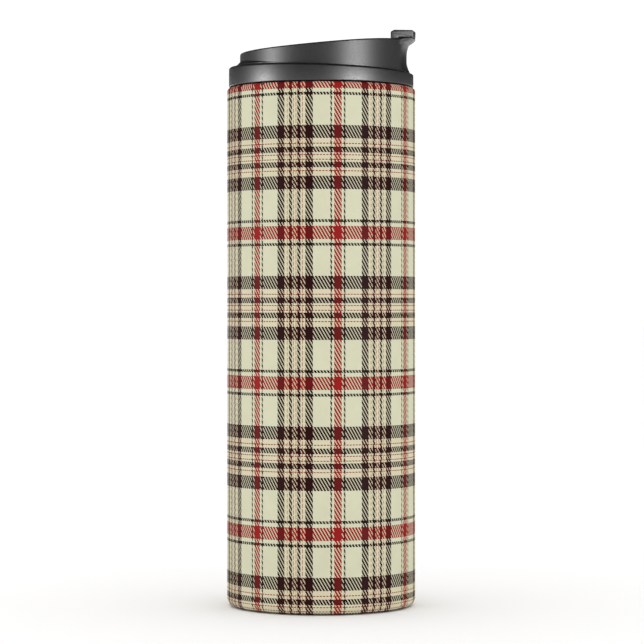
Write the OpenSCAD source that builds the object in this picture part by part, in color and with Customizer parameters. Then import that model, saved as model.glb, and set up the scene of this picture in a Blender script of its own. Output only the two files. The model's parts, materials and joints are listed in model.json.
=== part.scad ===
// Double-wall vacuum flask with a screw-on drinking lid and a flip-up cap.
// Frame: origin at the centre of the foot, +Z up, the drinking side at +X. Millimetres.

/* [Flask] */
// Outside diameter of the flask
body_d = 70; // [60:1:90]
// Height of the flask up to its mouth
body_h = 192; // [120:1:260]
// Thickness of the outer shell
shell_t = 0.6; // [0.4:0.1:1]
// Thickness of the inner liner
liner_t = 0.5; // [0.3:0.1:0.8]
// Evacuated gap between shell and liner
vacuum_gap = 2.6; // [1.5:0.1:5]
// Radius of the rounded foot edge
foot_round = 3; // [2:0.1:5]
// Radius of the rounded mouth edge
mouth_round = 1.2; // [0.8:0.1:2]
// Width of the ring that the flask stands on
foot_w = 2; // [1:0.1:4]
// Height of the liner's floor above the foot
liner_floor_z = 16; // [12:1:30]
// Radius of the liner's bottom corner
liner_round = 2.5; // [1:0.5:4]
// Height of the closing base above the foot
base_z = 2.1; // [1.5:0.1:3]

/* [Thread] */
// Rise of the thread in one turn
thread_lead = 8; // [6:0.5:12]
// Number of thread starts
thread_starts = 2; // [1:1:3]
// Turns that each thread ridge runs
thread_turns = 0.9; // [0.5:0.1:1]
// Height of the neck ridges
neck_ridge = 0.95; // [0.6:0.05:1.2]
// Height of the plug ridges
plug_ridge = 1.3; // [0.8:0.05:1.4]
// Gap between the plug's wall and the liner
plug_gap = 1.7; // [1.5:0.05:2.5]

/* [Lid] */
// Step from the flask's side in to the collar's side
collar_step = 0.65; // [0.3:0.05:2]
// Gap between the collar and the flask's mouth
collar_gap = 0.4; // [0.3:0.1:1]
// Height of the collar's side at the lid's middle
collar_h = 5.5; // [5:0.1:12]
// Slope of the collar's shoulder towards the drinking side, in degrees
shoulder_tilt = 2.2; // [0:0.1:4]
// Depth of the plug below the mouth
plug_depth = 14; // [12:0.5:24]
// Wall thickness of the plug
plug_t = 1.8; // [1.2:0.1:2.5]
// Thickness of the web that joins collar and plug
web_t = 2; // [1.5:0.1:3]
// Step from the collar's side in to the drinking wall
wall_step = 3.15; // [2.5:0.05:5]
// How far the drinking wall stands off centre, towards the drinking side
wall_offset = 1; // [0:0.1:1.5]
// Thickness of the drinking wall
wall_t = 2; // [1.5:0.1:3]
// Height of the deck above the mouth
deck_h = 10; // [9.5:0.5:16]
// Thickness of the deck
deck_t = 2; // [1.5:0.1:3]
// Height of the drinking wall's rim above the mouth at the back
rim_back_h = 12.8; // [12.5:0.1:20]
// Rise of the rim from the back to the front
rim_rise = 5.1; // [2:0.05:8]

/* [Spout] */
// Radius of the sip hole
sip_r = 4.2; // [3.5:0.1:5]
// Distance of the sip hole from the flask's axis
sip_x = 21; // [16:0.5:22]
// Radius of the vent hole
vent_r = 1.25; // [1.1:0.05:2]
// Distance of the vent hole from the flask's axis
vent_x = 6; // [3:0.5:9]
// Wall thickness of the sip and vent ducts
duct_t = 1.6; // [1:0.1:2]
// Half angle of the finger cove and the lip above it, in degrees
cove_angle = 13; // [8:1:20]
// Depth that the lip stands out past the drinking wall
lip_out = 2.9; // [1:0.1:4]

/* [Flip cap] */
// Distance of the hinge behind the flask's axis
hinge_back = 8; // [4:0.5:12]
// Radius of the hinge pin
pin_r = 1; // [0.8:0.05:1.3]
// Radius of the hinge barrel
barrel_r = 2.5; // [2:0.1:3]
// Width of the cap's arm
arm_w = 15; // [10:0.5:20]
// Thickness of the cap's arm
arm_t = 3; // [2:0.1:4]
// Gap between the deck and the arm
arm_gap = 1; // [0.6:0.1:2]
// Width of the thumb tab at its back; its front is half as wide
tab_w = 12; // [8:0.5:16]
// Height of the thumb tab's plate
tab_t = 2.7; // [2:0.1:4]
// Length of the thumb tab from its riser's back to its front
tab_l = 8.1; // [6:0.1:10]
// Gap between the rim and the thumb tab
tab_gap = 0.6; // [0.6:0.1:2]
// Cut on the thumb tab's upper corners
tab_cut = 0.8; // [0.5:0.1:1.3]

/* [Hidden] */
$fn = 96;

eps = 1;             // how far a cutter reaches past the face that it cuts
fit = 0.05;          // radial clearance of a running fit
seal_gap = 0.1;      // gap of a seal that only rests on its seat
free_gap = 0.3;      // clearance of pieces that move past each other

// flask
body_r = body_d / 2;
liner_ro = body_r - shell_t - vacuum_gap;
liner_ri = liner_ro - liner_t;
foot_r = body_r - foot_round;
base_r = foot_r - foot_w;
base_wall_h = 3.6;
cover_t = 0.5;
cover_rim = 5;
dome_h = 1.8;
liner_tube_z = liner_floor_z + liner_round + liner_t;
foil_t = 0.1;
foil_top = body_h - plug_depth - 8;
seal_bead_r = 3;
seal_hole_r = 1;
getter_x = 12;
getter_r = 4.2;
getter_h = 3;
getter_wall = 0.4;

// thread
thread_seg = 36;
thread_z = body_h - plug_depth + 3.5;
ridge_crest = 0.4;
ridge_root = 0.95;
ridge_sink = 0.25;
flank_gap = 0.35;
run_in = 0.08;

// lid
collar_r = body_r - collar_step;
collar_z = body_h + collar_gap;
collar_cut_h = 1.6;
collar_cut = 0.35;
shoulder_z = body_h + collar_h + collar_gap;
shoulder_round = 1;
shoulder_slope = 18;
web_z = body_h + 2.4;
web_top = web_z + web_t;
skirt_t = 1.3;
plug_r = liner_ri - plug_gap;
plug_z = body_h - plug_depth;
wall_r = collar_r - wall_step;
wall_ri = wall_r - wall_t;
deck_z = body_h + deck_h;
rim_run_back = wall_r - 1.2;
rim_bend = 1.8;       // 1 is a straight slope, more starts level at the back
rim_run = 2 * wall_r + 2.6;
rim_top = body_h + rim_back_h + rim_rise;
flare_h = 1.9;
flare_r = wall_r + 0.5;
flare_seat = 1;
top_seal_w = 1;
top_seal_h = 1;
seal_out = wall_ri + (wall_t + top_seal_w) / 2;
duct_seal_h = 0.8;

// spout
front_r = wall_offset + wall_r;
lip_r = front_r + lip_out;
lip_z = rim_top - 2.3;
cove_z = (shoulder_z + rim_top) / 2 - 0.8;
cove_r = 11.7;
cove_depth = 0.5;

// flip cap
hinge_z = deck_z + barrel_r + 0.5;
arm_z = deck_z + arm_gap;
lug_gap = free_gap;
lug_t = 2.6;
riser_r = wall_ri - 0.35;
tab_x = front_r + lip_out - tab_l;
tab_z = rim_top + tab_gap - 0.15;
stem_r = 1.6;
head_r = 2.6;
plug_in = 2.4;
plug_taper = 0.5;
vent_stem_r = 0.9;
vent_in = 1;

steel = "silver";
satin_black = [0.13, 0.13, 0.14];
silicone = "dimgray";

// Height of the rim at a distance x along the drinking direction: level at the back, steeper to the front
function rise(t) = pow(t, rim_bend);
function rim_z(x) = body_h + rim_back_h + rim_rise * rise(min(1, max(0, (x + rim_run_back) / rim_run)));

// A corner cutter: the part of a square of side f that a quarter circle of radius f leaves over
module corner(f) {
    difference() {
        square([2 * f, 2 * f]);
        circle(r = f);
    }
}

// Half section of a round column with rounded bottom and top edges
module column_section(r, z0, z1, f_bottom, f_top) {
    difference() {
        translate([0, z0]) square([r, z1 - z0]);
        translate([r - f_bottom, z0 + f_bottom]) mirror([0, 1]) corner(f_bottom);
        translate([r - f_top, z1 - f_top]) corner(f_top);
    }
}

// A plain round ring between two heights
module ring(r_out, r_in, z0, z1) {
    translate([0, 0, z0]) difference() {
        cylinder(r = r_out, h = z1 - z0);
        translate([0, 0, -eps]) cylinder(r = r_in, h = z1 - z0 + 2 * eps);
    }
}

// A round post between two heights
module post(r, z0, z1) {
    translate([0, 0, z0]) cylinder(r = r, h = z1 - z0);
}

// A helical ridge: root radius r_root, crest radius r_tip, centred on height z at its start
module ridge(r_root, r_tip, z, start) {
    n = round(thread_seg * thread_turns);
    function grow(t) = min(1, min(t, 1 - t) / run_in + 0.12);
    points = [
        for (i = [0:n])
            let (
                t = i / n,
                a = start + 360 * thread_turns * t,
                h = z + thread_lead * thread_turns * t,
                tip = r_root + (r_tip - r_root) * grow(t)
            )
            each [
                [r_root * cos(a), r_root * sin(a), h - ridge_root],
                [tip * cos(a), tip * sin(a), h - ridge_crest],
                [tip * cos(a), tip * sin(a), h + ridge_crest],
                [r_root * cos(a), r_root * sin(a), h + ridge_root]
            ]
    ];
    outward = r_tip > r_root;
    sides = [
        for (i = [0:n - 1], k = [0:3])
            let (p = 4 * i + k, q = 4 * i + (k + 1) % 4)
            each [[p, p + 4, q], [q, p + 4, q + 4]]
    ];
    ends = [[0, 1, 2], [0, 2, 3], [4 * n + 2, 4 * n + 1, 4 * n], [4 * n + 3, 4 * n + 2, 4 * n]];
    faces = concat(sides, ends);
    polyhedron(points, outward ? [for (f = faces) [f[2], f[1], f[0]]] : faces);
}

// ---- flask ----

module outer_shell() {
    color(steel) rotate_extrude() {
        difference() {
            column_section(body_r, 0, body_h, foot_round, mouth_round);
            column_section(
                body_r - shell_t, shell_t, body_h - shell_t, foot_round - shell_t, mouth_round - shell_t
            );
            translate([-eps, -eps]) square([base_r - shell_t + eps, shell_t + 2 * eps]);
            translate([-eps, body_h - shell_t - eps]) square([liner_ro + eps, shell_t + 2 * eps]);
        }
        translate([base_r - shell_t, 0]) square([shell_t, base_wall_h]);
    }
}

module outer_base() {
    r = base_r - shell_t;
    color(steel) difference() {
        union() {
            post(r, base_z, base_z + shell_t);
            post(r - cover_rim, base_z, base_z + dome_h + shell_t);
            ring(r, r - shell_t, base_z, base_wall_h);
        }
        post(r - cover_rim - shell_t, base_z - eps, base_z + dome_h);
        post(seal_hole_r, 0, base_z + dome_h + shell_t + eps);
    }
}

module base_cover() {
    color(steel) difference() {
        post(base_r - shell_t - fit, base_z - cover_t, base_z);
        translate([0, 0, base_z - cover_t - eps]) difference() {
            cylinder(r = body_r, h = eps + 0.15);
            translate([0, 0, -eps]) cylinder(r = base_r - shell_t - 0.6, h = 4 * eps);
        }
    }
}

module vacuum_seal() {
    color("khaki") {
        post(seal_bead_r, base_z + dome_h - 0.9, base_z + dome_h);
        post(seal_hole_r, base_z + dome_h - 0.1, base_z + dome_h + shell_t);
    }
}

module getter_holder() {
    color(steel) translate([getter_x, 0, base_z + dome_h + shell_t]) difference() {
        cylinder(r = getter_r + getter_wall, h = getter_h);
        translate([0, 0, getter_wall]) cylinder(r = getter_r, h = getter_h);
    }
}

module getter_pellet() {
    z = base_z + dome_h + shell_t + getter_wall;
    color("slategray") translate([getter_x, 0, 0]) post(getter_r, z, z + getter_h - 2 * getter_wall);
}

module inner_liner() {
    color("gainsboro") {
        ring(liner_ro, liner_ri, liner_tube_z, body_h);
        for (k = [0:thread_starts - 1])
            ridge(liner_ri + ridge_sink, liner_ri - neck_ridge, thread_z, 360 * k / thread_starts);
    }
}

module liner_base() {
    color("gainsboro") rotate_extrude() difference() {
        translate([0, liner_floor_z]) square([liner_ro, liner_tube_z - liner_floor_z]);
        translate([liner_ro - liner_round, liner_floor_z + liner_round]) mirror([0, 1]) corner(liner_round);
        column_section(
            liner_ri, liner_floor_z + liner_t, liner_tube_z + 2 * eps, liner_round - liner_t, liner_t
        );
    }
}

module radiation_foil() {
    color("peru") ring(liner_ro + foil_t, liner_ro, liner_tube_z + eps, foil_top);
}

// ---- lid ----

module tilted() {
    translate([0, 0, shoulder_z]) rotate([0, shoulder_tilt, 0]) children();
}

// Height of the sloped shoulder above the tilted plane, at a distance r from the axis
shoulder_edge = collar_r - 0.9 * shoulder_round;
shoulder_drop = 0.55 * shoulder_round;
function shoulder_h(r) = shoulder_round - shoulder_drop + (shoulder_edge - r) * tan(shoulder_slope);

// What is cut away above the collar's sloped shoulder
module shoulder_cutter() {
    inner = wall_r - 3;
    tilted() rotate_extrude() difference() {
        translate([inner, -shoulder_drop]) square([body_r, body_r]);
        translate([shoulder_edge, -shoulder_drop]) circle(r = shoulder_round);
        polygon([
            [inner - eps, -2 * shoulder_drop], [shoulder_edge, -2 * shoulder_drop],
            [shoulder_edge, shoulder_h(shoulder_edge)], [inner - eps, shoulder_h(inner - eps)]
        ]);
    }
}

module lid_collar() {
    color(satin_black) difference() {
        union() {
            translate([0, 0, collar_z])
                cylinder(r1 = collar_r - collar_cut, r2 = collar_r, h = collar_cut_h);
            post(collar_r, collar_z + collar_cut_h, shoulder_z + 6);
        }
        shoulder_cutter();
        post(collar_r - skirt_t, collar_z - eps, web_z);
        post(plug_r - plug_t, web_z - eps, web_top + eps);
        translate([wall_offset, 0, 0]) post(wall_r + fit, web_top, shoulder_z + 8);
        tilted() post(flare_r + fit, flare_seat, flare_seat + 8);
    }
}

module lid_plug() {
    color("dimgray") {
        difference() {
            post(plug_r, plug_z, web_z);
            post(plug_r - plug_t, plug_z + plug_t, web_z + eps);
            translate([sip_x, 0, 0]) post(sip_r, plug_z - eps, web_z);
            translate([vent_x, 0, 0]) post(vent_r, plug_z - eps, web_z);
        }
        translate([sip_x, 0, 0]) ring(sip_r + duct_t, sip_r, plug_z, deck_z - deck_t - duct_seal_h);
        translate([vent_x, 0, 0]) ring(vent_r + duct_t, vent_r, plug_z, deck_z - deck_t);
        for (k = [0:thread_starts - 1])
            ridge(
                plug_r - ridge_sink, plug_r + plug_ridge,
                thread_z - ridge_root - ridge_crest / 2 - flank_gap, 360 * k / thread_starts
            );
    }
}

module lid_insulation() {
    r = min(plug_r - plug_t - fit, wall_ri - wall_offset - free_gap);
    color("ivory") difference() {
        post(r, plug_z + plug_t, web_top);
        translate([sip_x, 0, 0]) post(sip_r + duct_t + fit, plug_z, web_top + eps);
        translate([vent_x, 0, 0]) post(vent_r + duct_t + fit, plug_z, web_top + eps);
    }
}

module lid_gasket() {
    color(silicone) ring(collar_r - skirt_t - fit, plug_r + fit, body_h + seal_gap, web_z - fit);
}

// Everything above the rising rim
module above_rim() {
    step = 4;
    reach = 44;
    translate([0, body_r + 10, 0]) rotate([90, 0, 0]) linear_extrude(height = 2 * body_r + 20)
        polygon(concat(
            [for (x = [-reach:step:reach]) [x, rim_z(x)]],
            [[reach, rim_top + 30], [-reach, rim_top + 30]]
        ));
}

// The finger cove at the front and the lip that stands out above it
module cove_and_lip() {
    foot_z = shoulder_z - front_r * tan(shoulder_tilt) + shoulder_h(front_r);
    foot_out = front_r + 1.2;
    inner = wall_ri + wall_offset + 0.3;
    rotate([0, 0, -cove_angle]) rotate_extrude(angle = 2 * cove_angle) difference() {
        polygon([
            [inner, foot_z], [foot_out, foot_z], [foot_out, lip_z], [front_r + 0.4, lip_z],
            [lip_r - 0.2, lip_z + 1.9], [lip_r, lip_z + 2.2], [lip_r, rim_top + 2], [inner, rim_top + 2]
        ]);
        intersection() {
            translate([front_r - cove_depth + cove_r, cove_z]) circle(r = cove_r);
            translate([0, foot_z - eps]) square([2 * body_r, lip_z - foot_z + eps]);
        }
    }
}

module hinge_lugs() {
    for (side = [0, 1]) mirror([0, side, 0])
        translate([-hinge_back, arm_w / 2 + fit + lug_gap, 0]) difference() {
            union() {
                translate([0, 0, hinge_z]) rotate([-90, 0, 0]) cylinder(r = barrel_r, h = lug_t);
                translate([-barrel_r, 0, deck_z - deck_t / 2])
                    cube([2 * barrel_r, lug_t, hinge_z - deck_z + deck_t / 2]);
            }
            translate([0, -eps, hinge_z]) rotate([-90, 0, 0]) cylinder(r = pin_r, h = lug_t + 2 * eps);
        }
}

module lid_top() {
    color(satin_black) {
        difference() {
            union() {
                translate([wall_offset, 0, 0]) post(wall_r, web_top, rim_top + eps);
                tilted() translate([0, 0, flare_seat])
                    cylinder(r1 = flare_r, r2 = flare_r - flare_h, h = flare_h);
                cove_and_lip();
            }
            above_rim();
            translate([wall_offset, 0, 0]) {
                post(wall_ri, deck_z, rim_top + 2 * eps);
                post(wall_ri, web_top - eps, deck_z - deck_t);
                ring(seal_out, seal_out - top_seal_w, web_top - eps, web_top + top_seal_h);
            }
            translate([sip_x, 0, 0]) post(sip_r, deck_z - deck_t - eps, deck_z + eps);
            translate([vent_x, 0, 0]) post(vent_r, deck_z - deck_t - eps, deck_z + eps);
        }
        hinge_lugs();
    }
}

module lid_top_seal() {
    color(silicone) translate([wall_offset, 0, 0])
        ring(seal_out, seal_out - top_seal_w, web_top, web_top + top_seal_h);
}

module duct_seal() {
    z = deck_z - deck_t;
    color(silicone) translate([sip_x, 0, 0]) ring(sip_r + duct_t, sip_r, z - duct_seal_h, z);
}

// A round bar along the hinge line
module hinge_bar(r, half) {
    translate([-hinge_back, -half, hinge_z]) rotate([-90, 0, 0]) cylinder(r = r, h = 2 * half);
}

module hinge_pin() {
    color(steel) hinge_bar(pin_r, arm_w / 2 + fit + lug_gap + lug_t);
}

// ---- flip cap ----

module thumb_tab() {
    front = tab_x + tab_l;
    back = tab_x + wall_t + 4;
    top = tab_z + tab_t;
    side = tab_w / 2;
    middle = tab_x + 0.35 * tab_l;
    intersection() {
        translate([0, tab_w / 2, 0]) rotate([90, 0, 0]) linear_extrude(height = tab_w)
            polygon([
                [tab_x, arm_z], [back, arm_z], [back, tab_z], [front - 0.1, tab_z],
                [front, top - 0.5 * tab_cut], [front - 0.5 * tab_cut, top], [tab_x + 1.5 * tab_cut, top],
                [tab_x, top - tab_cut]
            ]);
        translate([0, 0, arm_z - eps]) linear_extrude(height = top - arm_z + 2 * eps)
            polygon([
                [tab_x - eps, -side], [middle, -0.9 * side], [front, -0.5 * side],
                [front, 0.5 * side], [middle, 0.9 * side], [tab_x - eps, side]
            ]);
        union() {
            translate([wall_offset, 0, 0]) post(riser_r, arm_z - eps, tab_z + eps);
            post(2 * body_r, tab_z, top + eps);
        }
    }
}

module flip_cap() {
    color(satin_black) difference() {
        union() {
            hinge_bar(barrel_r, arm_w / 2 + fit);
            intersection() {
                translate([-hinge_back, -arm_w / 2, arm_z]) cube([body_r + hinge_back, arm_w, arm_t]);
                translate([wall_offset, 0, 0]) post(riser_r, arm_z - eps, arm_z + arm_t + eps);
            }
            thumb_tab();
        }
        hinge_bar(pin_r + fit, body_r);
        translate([sip_x, 0, 0]) post(stem_r, arm_z - eps, arm_z + arm_t + eps);
        translate([vent_x, 0, 0]) post(vent_stem_r, arm_z - eps, arm_z + arm_t + eps);
    }
}

// A silicone stopper under the arm: tapered plug, flange, stem through the arm and a button head
module stopper(hole_r, depth, taper, flange_r, stem, head, head_h) {
    color(silicone) {
        translate([0, 0, deck_z + seal_gap - depth])
            cylinder(r1 = hole_r - 2 * seal_gap - taper, r2 = hole_r - 2 * seal_gap, h = depth);
        post(flange_r, deck_z + seal_gap, arm_z);
        post(stem, arm_z - 0.1, arm_z + arm_t + 0.1);
        translate([0, 0, arm_z + arm_t]) cylinder(r1 = head, r2 = 0.7 * head, h = head_h);
    }
}

module spout_seal() {
    translate([sip_x, 0, 0]) stopper(sip_r, plug_in, plug_taper, sip_r + 1.4, stem_r, head_r, 1);
}

module vent_seal() {
    translate([vent_x, 0, 0]) stopper(vent_r, vent_in, 0.25, vent_r + 1.2, vent_stem_r, 1.6, 0.6);
}

outer_shell();
outer_base();
base_cover();
vacuum_seal();
getter_holder();
getter_pellet();
inner_liner();
liner_base();
radiation_foil();
lid_collar();
lid_plug();
lid_insulation();
lid_gasket();
lid_top();
lid_top_seal();
duct_seal();
hinge_pin();
flip_cap();
spout_seal();
vent_seal();
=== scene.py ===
"""Looks of a double-wall vacuum flask with a printed check, a black drinking lid and a flip-up cap.

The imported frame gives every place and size. Lengths in this file are millimetres and heights stand on the
foot, unless a name ends in _m. The drinking side is at +X.
"""

import json
import math

import bmesh
import bpy
from mathutils import Matrix, Vector


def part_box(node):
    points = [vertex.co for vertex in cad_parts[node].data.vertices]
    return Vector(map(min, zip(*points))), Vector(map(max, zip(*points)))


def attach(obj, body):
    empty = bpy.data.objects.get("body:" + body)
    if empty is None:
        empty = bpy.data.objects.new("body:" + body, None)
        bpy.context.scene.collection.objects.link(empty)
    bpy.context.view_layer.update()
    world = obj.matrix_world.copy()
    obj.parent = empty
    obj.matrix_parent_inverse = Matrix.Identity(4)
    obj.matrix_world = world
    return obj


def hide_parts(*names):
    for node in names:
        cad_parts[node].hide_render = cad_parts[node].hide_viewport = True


bl_info = {
    "name": "Vacuum Flask",
    "version": (1, 0, 0),
    "blender": (4, 5, 0),
    "location": "View3D > Sidebar > Flask",
    "description": "Builds the shell, lid, cap and studio of a double-wall vacuum flask",
    "category": "Object",
}

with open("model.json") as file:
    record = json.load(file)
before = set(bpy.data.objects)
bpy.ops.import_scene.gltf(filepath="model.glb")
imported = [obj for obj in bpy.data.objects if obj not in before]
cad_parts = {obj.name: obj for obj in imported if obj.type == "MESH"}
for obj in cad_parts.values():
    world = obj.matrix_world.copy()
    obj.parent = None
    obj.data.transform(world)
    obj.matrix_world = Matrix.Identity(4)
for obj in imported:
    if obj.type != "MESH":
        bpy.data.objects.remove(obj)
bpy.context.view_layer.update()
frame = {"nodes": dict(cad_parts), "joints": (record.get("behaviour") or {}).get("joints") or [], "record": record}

# ---- sizes read from the frame -----------------------------------------------------------------------------

MM = 0.001


def box_mm(node):
    """Lowest and highest corner of a CAD node, in millimetres."""
    low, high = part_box(node)
    return low / MM, high / MM


def joint_mm(name):
    """The point that a joint turns about, in millimetres."""
    for joint in frame["joints"]:
        if joint["name"] == name:
            return Vector(joint["pos_m"]) / MM
    raise ValueError(f"the frame has no joint named {name}")


SHELL_HIGH = box_mm("outer_shell")[1]
BASE_HIGH = box_mm("outer_base")[1]
COVER_LOW, COVER_HIGH = box_mm("base_cover")
LINER_LOW, LINER_HIGH = box_mm("inner_liner")
COLLAR_LOW, COLLAR_HIGH = box_mm("lid_collar")
TOP_LOW, TOP_HIGH = box_mm("lid_top")
PLUG_LOW = box_mm("lid_plug")[0]
FOAM_HIGH = box_mm("lid_insulation")[1]
GASKET_LOW, GASKET_HIGH = box_mm("lid_gasket")
CAP_LOW, CAP_HIGH = box_mm("flip_cap")
PIN_LOW, PIN_HIGH = box_mm("hinge_pin")
SPOUT_LOW, SPOUT_HIGH = box_mm("spout_seal")
VENT_LOW, VENT_HIGH = box_mm("vent_seal")
DUCT_LOW, DUCT_HIGH = box_mm("duct_seal")
HINGE = joint_mm("cap_flip")
THREAD_LEAD = frame["record"]["behaviour"]["couplings"][0]["ratio"] * 2 * math.pi / MM

BODY_R = SHELL_HIGH.x
BODY_H = SHELL_HIGH.z
SHELL_T = 0.6
FOOT_ROUND = 3.0
MOUTH_ROUND = 1.2
FOOT_INNER_R = BASE_HIGH.x
LINER_R = LINER_HIGH.x
LINER_T = 0.5

COLLAR_R = COLLAR_HIGH.x
WEB_TOP = TOP_LOW.z
WEB_Z = WEB_TOP - 2.0
SKIRT_R = GASKET_HIGH.x + 0.05
SHOULDER_Z = BODY_H + 5.9
SHOULDER_SLOPE = math.tan(math.radians(2.2))

FLARE_R = TOP_HIGH.y
WALL_R = FLARE_R - 0.5
WALL_OFFSET = 1.0
WALL_T = 2.0
DECK_Z = SPOUT_LOW.z + 2.3
DECK_T = 2.0
RIM_BACK_Z = BODY_H + 12.8
RIM_RISE = 5.1
RIM_BEND = 1.8
RIM_RUN_BACK = WALL_R - 1.2
RIM_RUN = 2 * WALL_R + 2.6
LIP_R = TOP_HIGH.x
LIP_GAP = 0.08  # between the lip's top and the thumb tab
COVE_HALF_ANGLE = math.radians(13)
COVE_SOFT_DEG = 4.5  # half the width of the blend at the hollow's sides
LIP_SOFT_DEG = 5.5  # the same at the lip's sides
WALL_ROWS = 30  # rows of faces up the outside of the drinking wall

DUCT_WALL = 1.6
SIP_X = (SPOUT_LOW.x + SPOUT_HIGH.x) / 2
SIP_R = (DUCT_HIGH.x - DUCT_LOW.x) / 2 - DUCT_WALL
VENT_X = (VENT_LOW.x + VENT_HIGH.x) / 2
VENT_R = 1.25
PLUG_R = FOAM_HIGH.x + 1.85
PLUG_T = 1.8
HOLES = [(SIP_X, SIP_R), (VENT_X, VENT_R)]
THREAD_START = 3.5  # first ridge of the liner above the plug's foot

FIT = 0.05  # room left at a running or seated face
ARM_Z = DECK_Z + 1.0
ARM_T = 3.0
ARM_HALF = (CAP_HIGH.y - CAP_LOW.y) / 2 - FIT
BARREL_R = HINGE.z - DECK_Z - 0.5
PIN_R = (PIN_HIGH.z - PIN_LOW.z) / 2
TAB_FRONT = CAP_HIGH.x
TAB_TOP = CAP_HIGH.z
TAB_Z = TAB_TOP - 2.7
TAB_BACK = TAB_FRONT - 8.1
TAB_HALF = 6.0
RISER_R = WALL_R - WALL_T - 0.35

ROUND_STEPS = 256  # sides of the large round pieces
SMALL_STEPS = 64  # sides of pins, stoppers and holes


# ---- small helpers -----------------------------------------------------------------------------------------


def linear(hex_colour, alpha=1.0):
    """A linear colour from an sRGB hex value such as "D8D5BA"."""
    channels = [int(hex_colour[i : i + 2], 16) / 255 for i in (0, 2, 4)]
    return tuple(c / 12.92 if c <= 0.04045 else ((c + 0.055) / 1.055) ** 2.4 for c in channels) + (alpha,)


def smooth_step(low, high, value):
    """0 below low, 1 above high, and an even S between them."""
    t = min(1.0, max(0.0, (value - low) / (high - low)))
    return t * t * (3 - 2 * t)


def wall_radius(radius, angle):
    """Distance from the flask's axis to a circle of that radius that stands off towards the drinking side."""
    return WALL_OFFSET * math.cos(angle) + math.sqrt(radius**2 - (WALL_OFFSET * math.sin(angle)) ** 2)


def rim_height(x):
    """Height of the drinking wall's rim: level at the back, steeper to the front."""
    return RIM_BACK_Z + RIM_RISE * min(1.0, max(0.0, (x + RIM_RUN_BACK) / RIM_RUN)) ** RIM_BEND


def rounded(corners, steps=6):
    """A closed outline from (a, b, fillet) corners, with each fillet as an arc."""
    points = []
    count = len(corners)
    for i, (a, b, fillet) in enumerate(corners):
        here = Vector((a, b))
        if fillet <= 0:
            points.append((a, b))
            continue
        to_last = (Vector(corners[i - 1][:2]) - here).normalized()
        to_next = (Vector(corners[(i + 1) % count][:2]) - here).normalized()
        half = to_last.angle(to_next) / 2
        reach = fillet / math.tan(half)
        centre = here + (to_last + to_next).normalized() * (fillet / math.sin(half))
        start = here + to_last * reach - centre
        end = here + to_next * reach - centre
        turn = start.angle_signed(end)
        for k in range(steps + 1):
            point = centre + Matrix.Rotation(-turn * k / steps, 2) @ start
            points.append((point.x, point.y))
    return points


def inset(outline, depth):
    """The outline moved inwards by depth, point by point. The outline runs counterclockwise."""
    moved = []
    count = len(outline)
    for i in range(count):
        here, last, after = Vector(outline[i]), Vector(outline[i - 1]), Vector(outline[(i + 1) % count])
        before, ahead = here - last, after - here
        if before.length < 1e-6:
            before = ahead
        if ahead.length < 1e-6:
            ahead = before
        along = before.normalized() + ahead.normalized()
        along = before.normalized() if along.length < 1e-6 else along.normalized()
        moved.append((here.x - along.y * depth, here.y + along.x * depth))
    return moved


def bridge(bm, rings, closed=True):
    """Faces between neighbouring rings of vertices. Returns the faces."""
    faces = []
    pairs = list(zip(rings, rings[1:] + rings[:1])) if closed else list(zip(rings, rings[1:]))
    for ring, after in pairs:
        count = len(ring)
        for k in range(count):
            corners = [ring[k], after[k], after[(k + 1) % count], ring[(k + 1) % count]]
            faces.append(bm.faces.new(corners))
    return faces


def close_up(bm):
    """Merges doubled points and turns every face outwards."""
    bmesh.ops.remove_doubles(bm, verts=bm.verts, dist=1e-7)
    bmesh.ops.dissolve_degenerate(bm, edges=bm.edges, dist=1e-8)
    bmesh.ops.recalc_face_normals(bm, faces=bm.faces)


def ring_at(bm, outline, angle):
    """New vertices for an outline of (radius, height) in the upright plane at that angle."""
    c, s = math.cos(angle), math.sin(angle)
    return [bm.verts.new(Vector((r * c, r * s, z)) * MM) for r, z in outline]


def revolve(bm, section, angles):
    """A ring-shaped solid. section(angle) gives the closed outline of (radius, height) there."""
    return bridge(bm, [ring_at(bm, section(angle), angle) for angle in angles])


def even_angles(count):
    """Angles of a whole turn in equal steps."""
    return [2 * math.pi * k / count for k in range(count)]


def quarter(steps):
    """Angles of a quarter turn in equal steps, with both ends."""
    return [math.pi / 2 * k / steps for k in range(steps + 1)]


def lathe(bm, outline, steps=ROUND_STEPS, centre=(0.0, 0.0)):
    """A turned solid about the vertical line through centre, closed and clean."""
    part = bmesh.new()
    revolve(part, lambda angle: outline, even_angles(steps))
    close_up(part)
    bmesh.ops.translate(part, verts=part.verts, vec=Vector((centre[0], centre[1], 0)) * MM)
    merge(bm, part)


def merge(bm, part):
    """Adds the part's mesh to bm and frees the part."""
    mesh = bpy.data.meshes.new("part")
    part.to_mesh(mesh)
    part.free()
    bm.from_mesh(mesh)
    bpy.data.meshes.remove(mesh)


def new_piece(name, bm, crease=32):
    """An object from bm, shaded smooth apart from edges sharper than crease degrees."""
    mesh = bpy.data.meshes.new(name)
    bm.to_mesh(mesh)
    bm.free()
    mesh.polygons.foreach_set("use_smooth", [True] * len(mesh.polygons))
    mesh.set_sharp_from_angle(angle=math.radians(crease))
    piece = bpy.data.objects.new(name, mesh)
    bpy.context.scene.collection.objects.link(piece)
    return piece


def fit_piece(piece, material, body, slot, *nodes):
    """Gives a piece its material and its body, and hides the CAD nodes that it stands for. The slot is not used.
    """
    if material is not None:
        piece.data.materials.clear()
        piece.data.materials.append(material)
    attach(piece, body)
    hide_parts(*nodes)


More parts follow.
